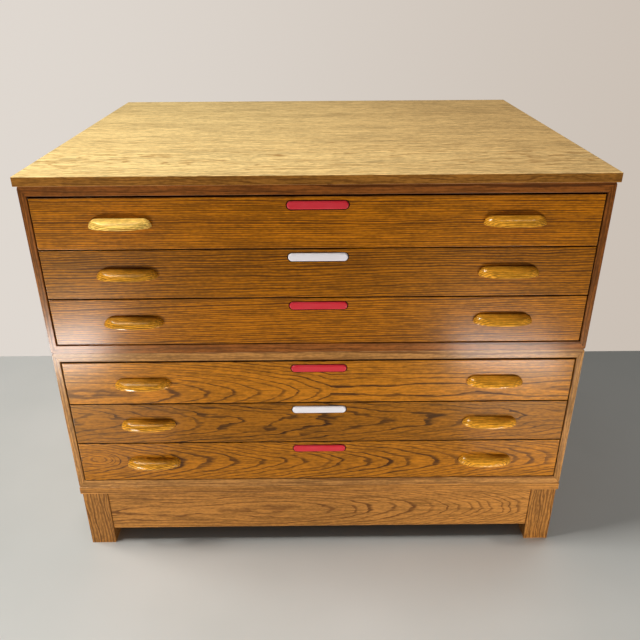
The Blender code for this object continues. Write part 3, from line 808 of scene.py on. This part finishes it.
# %% Place and finish the pulls
lowest_drawer = 6
pull_figures = {
    "left": {"Heart": (0.0, 0.030, -0.030), "Ring Width": 0.0040, "Lean": 0.06, "Wander": 0.010,
             "Band": 0.25},
    "right": {"Heart": (0.0, 0.018, -0.030), "Ring Width": 0.0042, "Lean": 0.03, "Wander": 0.010,
              "Band": 0.15},
}
lowest_pull_figures = {
    "left": {"Lean": 0.20},
    "right": {"Heart": (0.0, 0.0, -0.20), "Lean": 0.0, "Ring Width": 0.0034, "Wander": 0.006},
}
pull_shades = {"left": 1.15, "right": 1.12}
pull_half = Vector((pull_length / 2, pull_reach / 2, pull_rise / 2))
for number in front_figures:
    rise = board_box(number)[0].z - front_low.z
    for hand, side in (("left", -1), ("right", 1)):
        name = f"drawer_{number}_{hand}_pull"
        middle = Vector((side * pull_offset, front_face - pull_reach / 2, pull_low + pull_rise / 2 + rise))
        if name == first_pull.name:
            pull = first_pull
        else:
            pull = copy_piece(first_pull, name, (middle.x + pull_offset, 0, rise))
        figure = {**pull_figures[hand], "Seed": (number * 2.7, number * 1.3 + side, number * 4.1)}
        if number == lowest_drawer:
            figure.update(lowest_pull_figures[hand])
        pull.data.materials.clear()
        # The top left pull gets the paler stain, partly painted light.
        stain_name = "pale_and_lit_pull" if name == first_pull.name else "pull"
        board = ("across_front", middle - pull_half, middle + pull_half, figure)
        pull.data.materials.append(oak_material(name + "_oak", stain_name, *board, shade=pull_shades[hand]))
        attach(pull, f"drawer_{number}")
        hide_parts(f"drawer_{number}_front")
print("pulls:", 2 * len(front_figures))

# %% [markdown]
# ## Tabs
#
# Each front has a moulded plastic tab in a shallow pocket: red, white and red in both cases. The tab is a
# pill with a widely rounded front edge, so it catches a soft line of light along its top.

# %% The moulded plastic group and materials
plastic, plastic_in, plastic_out = open_group(
    "moulded_plastic",
    {"Place": (0.0, 0.0, 0.0), "Paint": [0.5, 0.03, 0.04, 1.0], "Faded": [0.6, 0.1, 0.1, 1.0]},
    {"Colour": "NodeSocketColor", "Roughness": "NodeSocketFloat", "Height": "NodeSocketFloat"})
cloud_size = (22.0, 60.0, 60.0)
scuff_size = (90.0, 900.0, 900.0)
skin_size = (1500.0, 1500.0, 1500.0)
cloud_range = (0.35, 0.75, 0.0, 0.35)
scuff_range = (0.45, 0.75, 0.30, 0.46)

cloud = noise_at(plastic, plastic_in["Place"], cloud_size, (0.0, 0.0, 0.0), detail=3.0)
scuffs = noise_at(plastic, plastic_in["Place"], scuff_size, (4.0, 1.0, 2.0))
skin = noise_at(plastic, plastic_in["Place"], skin_size, (1.0, 5.0, 3.0), detail=1.0)
cloud_share = ease(plastic, cloud, *cloud_range)
clouded = blend_colours(plastic, cloud_share, plastic_in["Paint"], plastic_in["Faded"])
join(plastic, clouded, plastic_out["Colour"])
join(plastic, ease(plastic, scuffs, *scuff_range), plastic_out["Roughness"])
join(plastic, skin, plastic_out["Height"])
skin_bump = {"Strength": 0.08, "Distance": 0.0002}


def plastic_material(name, paint, faded):
    """Moulded plastic with a fine skin, faint clouding and scuffs."""
    material = bpy.data.materials.new(name)
    material.use_nodes = True
    tree = material.node_tree
    shader = tree.nodes["Principled BSDF"]
    place = add_node(tree, "ShaderNodeTexCoord").outputs["Object"]
    finish = place_group(tree, plastic, {"Place": place, "Paint": paint, "Faded": faded})
    bump = add_node(tree, "ShaderNodeBump", {"Height": finish["Height"], **skin_bump})
    join(tree, finish["Colour"], shader.inputs["Base Color"])
    join(tree, finish["Roughness"], shader.inputs["Roughness"])
    join(tree, bump.outputs[0], shader.inputs["Normal"])
    return material


tab_plastics = {
    "red_plastic": plastic_material("red_tab_plastic", (0.64, 0.020, 0.034, 1), (0.72, 0.06, 0.08, 1)),
    "white_plastic": plastic_material("white_tab_plastic", (0.88, 0.84, 0.85, 1), (0.78, 0.73, 0.71, 1)),
}
print("plastics:", list(tab_plastics))

# %% Model one tab and copy it
tab_low, tab_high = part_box("drawer_1_tab")
tab_clearance = 0.0020
tab_points = 48
tab_rim = 0.0036
tab_rim_segments = 8
tab_smooth_angle = math.radians(30)
white_tabs = (2, 5)

pill_length = tab_high.x - tab_low.x - 2 * tab_clearance
pill_height = tab_high.z - tab_low.z - 2 * tab_clearance
first_tab = pill_start("drawer_1_label_tab", (0, tab_high.y, (tab_low.z + tab_high.z) / 2), pill_length,
                       pill_height, tab_points)
bpy.ops.mesh.extrude_region_move(TRANSFORM_OT_translate={"value": (0, tab_low.y - tab_high.y, 0)})
close_solid()
select_parts(first_tab, "EDGE", lambda a, b: max(a.y, b.y) < tab_low.y + same_plane)
bpy.ops.mesh.bevel(offset=tab_rim, segments=tab_rim_segments)
start_fresh()
smooth_by_face(first_tab, tab_smooth_angle)
for number in front_figures:
    low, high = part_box(f"drawer_{number}_tab")
    tab = first_tab if number == 1 else copy_piece(first_tab, f"drawer_{number}_label_tab", low - tab_low)
    slot = "white_plastic" if number in white_tabs else "red_plastic"
    tab.data.materials.clear()
    tab.data.materials.append(tab_plastics[slot])
    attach(tab, f"drawer_{number}")
    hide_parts(f"drawer_{number}_tab")
print("tabs:", len(front_figures), "faces of a tab:", len(first_tab.data.polygons))

# %% [markdown]
# ## Finishes for the CAD boards
#
# The cases, the leg frame, the top board and the drawer boxes already have the right shape, so they only
# need wood. The top has been bleached by light and is paler than its own edge. A painted shade makes it
# darker and redder towards its right end, and another makes the cases' right sides a little darker than
# their left ones. Each board has a seed number of its own, which shifts the noise, so that no two boards
# have the same marks.

# %% Figures for the other boards
quiet = {"Heart": (0.0, -0.30, -0.20), "Ring Width": 0.0052, "Lean": 0.004, "Wander": 0.012, "Band": 0.2}
upright_figure = {"Heart": (0.0, -0.9, 0.35), "Ring Width": 0.0042, "Lean": 0.006, "Wander": 0.02,
                  "Band": 0.2}
apron_figure = {**arched, "Heart": (-0.15, -0.004, -0.050), "Lean": 0.01, "Bow": 0.14, "Near Limit": -0.14,
                "Band": 0.14}
leg_figure = {**upright_figure, "Ring Width": 0.0026, "Band": 0.3}
top_figure = {"Heart": (0.0, -0.35, -0.14), "Ring Width": 0.0080, "Lean": 0.02, "Wander": 0.055,
              "Band": 0.14}
case_flecks = 0.25
leg_flecks = 0.4
# Painted shade: the cases' right sides are made darker, as they face away from the light.
right_side_painted_shade = 0.84


# %% Dress the boards
def dress(name, stain_name, way, figure, seed, fleck_share=0.0, edge_stain_or_shade=None, far_painted_shade=None,
          shade=1.0):
    """Give a CAD board its own oak."""
    low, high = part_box(name)
    figure = {**figure, "Seed": (seed, seed * 0.37, seed * 1.9)}
    nodes[name].material_slots[0].material = oak_material(name + "_oak", stain_name, way, low, high, figure,
                                                          fleck_share, edge_stain_or_shade, far_painted_shade, shade)


dress("top_board", "top", "flat", top_figure, 4.2, edge_stain_or_shade="top_edge", far_painted_shade="top_painted_far_shade")
for seed, case in enumerate(("upper_case", "lower_case")):
    dress(case + "_top", case, "across_front", quiet, 2.1 + seed)
    dress(case + "_bottom", case, "across_front", quiet, 6.3 + seed)
    dress(case + "_left_side", case, "upright", upright_figure, 11.5 + seed, case_flecks)
    dress(case + "_right_side", case, "upright", upright_figure, 17.9 + seed, case_flecks,
          shade=right_side_painted_shade)
    dress(case + "_back", "ply", "flat", quiet, 23.0 + seed)
for seed, side in enumerate(("front", "back", "left", "right")):
    way = "across_front" if side in ("front", "back") else "front_to_back"
    dress(f"base_apron_{side}", "base", way, apron_figure, 31.3 + seed * 1.7)
    dress(f"base_strip_{side}", "base", way, quiet, 41.3 + seed * 1.7)
for seed, corner in enumerate(("front_left", "front_right", "back_left", "back_right")):
    dress(f"base_leg_{corner}", "leg", "upright", leg_figure, 53.0 + seed * 2.3, leg_flecks)
for number in front_figures:
    for side in ("left_side", "right_side"):
        dress(f"drawer_{number}_{side}", "drawer_box", "front_to_back", quiet, 61.0 + number)
    dress(f"drawer_{number}_back", "drawer_box", "across_front", quiet, 71.0 + number)
    dress(f"drawer_{number}_bottom", "ply", "flat", top_figure, 81.0 + number)
dressed = [name for name, node in nodes.items() if node.material_slots[0].material.name.endswith("_oak")]
print("boards dressed:", len(dressed))

# %% [markdown]
# ## Floor, backdrop and light
#
# The cabinet stands on a pale grey floor against a pale backdrop, lit from above and from the left. The
# backdrop is a card that only the camera sees, and only from its front, so it neither shades the cabinet
# nor hides it from behind. It glows by itself with a painted light, lighter at the left and darker at the
# right. Large lamps above make soft shadows.
#
# In the photograph the fronts also catch light from low down in front of them, as off a bright floor.
# Small lamps near the floor stand in for it. Two glows shine up at the fronts and show as pale reflections
# in the lacquer. Two bounces add light without a reflection, and two sheens add a reflection without light.
# Light that comes off the floor doesn't fall on it again, so light linking keeps these lamps off it.

# %% The floor
def stage_sheet(name, corners, finish):
    """A flat sheet of the stage."""
    start_fresh()
    bpy.ops.mesh.primitive_plane_add(size=1.0)
    sheet = bpy.context.active_object
    sheet.name = name
    for vert, corner in zip(sheet.data.vertices, corners):
        vert.co = corner
    sheet.data.materials.append(finish)
    return sheet


stage_reach = 9
mottle_waves = (1.3, 1.3, 1.3)
mottle_edge = (0.3, 0.7)
dark_floor = (0.60, 0.60, 0.555, 1)
pale_floor = (0.66, 0.655, 0.61, 1)
floor_roughness = 0.45
floor_paint = bpy.data.materials.new("floor_paint")
floor_paint.use_nodes = True
tree = floor_paint.node_tree
place = add_node(tree, "ShaderNodeTexCoord").outputs["Object"]
mottle = noise_at(tree, place, mottle_waves, (0.0, 0.0, 0.0), detail=4.0)
tint = blend_colours(tree, ease(tree, mottle, *mottle_edge), dark_floor, pale_floor)
join(tree, tint, tree.nodes["Principled BSDF"].inputs["Base Color"])
tree.nodes["Principled BSDF"].inputs["Roughness"].default_value = floor_roughness
floor = stage_sheet("floor", [(-stage_reach, -stage_reach, 0), (stage_reach, -stage_reach, 0),
                              (-stage_reach, stage_reach, 0), (stage_reach, stage_reach, 0)], floor_paint)
print("floor reaches", stage_reach, "m each way")

# %% The backdrop
backdrop_y = 0.571
backdrop_height = 6
backdrop_limits = (-1.2, 1.4)
# The backdrop glows with a painted light: lighter at the left, darker at the right.
lit_left_backdrop = (0.74, 0.685, 0.63, 1)
shaded_right_backdrop = (0.60, 0.53, 0.465, 1)
backdrop_paint = bpy.data.materials.new("backdrop_paint")
backdrop_paint.use_nodes = True
tree = backdrop_paint.node_tree
tree.nodes.remove(tree.nodes["Principled BSDF"])
place = add_node(tree, "ShaderNodeTexCoord").outputs["Object"]
across = add_node(tree, "ShaderNodeSeparateXYZ", {0: place}).outputs[0]
paint = blend_colours(tree, ease(tree, across, *backdrop_limits), lit_left_backdrop, shaded_right_backdrop)
glow = add_node(tree, "ShaderNodeEmission", {"Color": paint, "Strength": 1.0}).outputs[0]
clear = add_node(tree, "ShaderNodeBsdfTransparent").outputs[0]
behind = add_node(tree, "ShaderNodeNewGeometry").outputs["Backfacing"]
cover = add_node(tree, "ShaderNodeMixShader", {0: behind, 1: glow, 2: clear}).outputs[0]
join(tree, cover, tree.nodes["Material Output"].inputs["Surface"])
backdrop = stage_sheet("backdrop", [(-stage_reach, backdrop_y, 0), (stage_reach, backdrop_y, 0),
                                    (-stage_reach, backdrop_y, backdrop_height),
                                    (stage_reach, backdrop_y, backdrop_height)], backdrop_paint)
for ray in ("visible_diffuse", "visible_glossy", "visible_transmission", "visible_shadow"):
    setattr(backdrop, ray, False)
print("backdrop stands at y =", backdrop_y)


# %% The lamps above
def soft_lamp(name, place, aim, width, height, watts, colour=(1, 1, 1)):
    """A rectangular lamp that points at a spot, and that the camera doesn't see."""
    lamp = bpy.data.objects.new(name, bpy.data.lights.new(name, "AREA"))
    bpy.context.scene.collection.objects.link(lamp)
    lamp.data.shape = "RECTANGLE"
    lamp.data.size = width
    lamp.data.size_y = height
    lamp.data.energy = watts
    lamp.data.color = colour
    lamp.location = place
    lamp.rotation_euler = (Vector(aim) - Vector(place)).to_track_quat("-Z", "Y").to_euler()
    lamp.visible_camera = False
    return lamp


soft_lamp("key_lamp", (-1.62, -0.50, 3.1), (0.0, 0.0, 0.8), 1.2, 0.5, 78)
soft_lamp("left_ceiling", (-0.60, -0.53, 2.7), (-0.45, -0.50, 0.9), 0.22, 0.16, 11)
soft_lamp("right_ceiling", (1.2, 0.1, 3.2), (1.0, 0.1, 0.0), 0.8, 0.8, 14)

# %% The low lamps
floor_light = (1.0, 0.97, 0.98)
low_lamps = [
    soft_lamp("left_floor_glow", (-1.04, -1.49, 0.02), (-0.85, -1.05, 0.85), 0.32, 0.24, 16, floor_light),
    soft_lamp("right_floor_glow", (0.76, -1.45, 0.02), (0.60, -0.90, 0.85), 0.40, 0.15, 7.2, floor_light),
]
for side, rise, watts in ((-1, 0.20, 1.9), (1, 0.12, 4.8)):
    bounce = soft_lamp("floor_bounce", (side * 0.92, -1.35, rise), (side * 0.62, -0.48, rise + 0.12), 0.3,
                       0.1, watts, floor_light)
    bounce.visible_glossy = False
    low_lamps.append(bounce)
for side, watts in ((-1, 0.6), (1, 0.8)):
    sheen = soft_lamp("floor_sheen", (side * 0.70, -0.97, 0.02), (side * 0.70, -0.97, 1.0), 0.42, 0.42,
                      watts, floor_light)
    sheen.visible_diffuse = False
    low_lamps.append(sheen)

skip_floor = bpy.data.collections.new("skip_floor")
skip_floor.objects.link(floor)
skip_floor.collection_objects[0].light_linking.link_state = "EXCLUDE"
for lamp in low_lamps:
    lamp.light_linking.receiver_collection = skip_floor
print("low lamps:", len(low_lamps))

# %% The sky
seen_air = (0.80, 0.78, 0.74, 1)
plain_air = (0.14, 0.14, 0.14, 1)
mirrored_air = (0.05, 0.05, 0.05, 1)
world = bpy.data.worlds.new("studio_air")
bpy.context.scene.world = world
world.use_nodes = True
tree = world.node_tree
sky = tree.nodes["Background"]
rays = add_node(tree, "ShaderNodeLightPath").outputs
air = blend_colours(tree, rays["Is Glossy Ray"], plain_air, mirrored_air)
join(tree, blend_colours(tree, rays["Is Camera Ray"], air, seen_air), sky.inputs["Color"])
bpy.context.scene.view_settings.view_transform = "Standard"
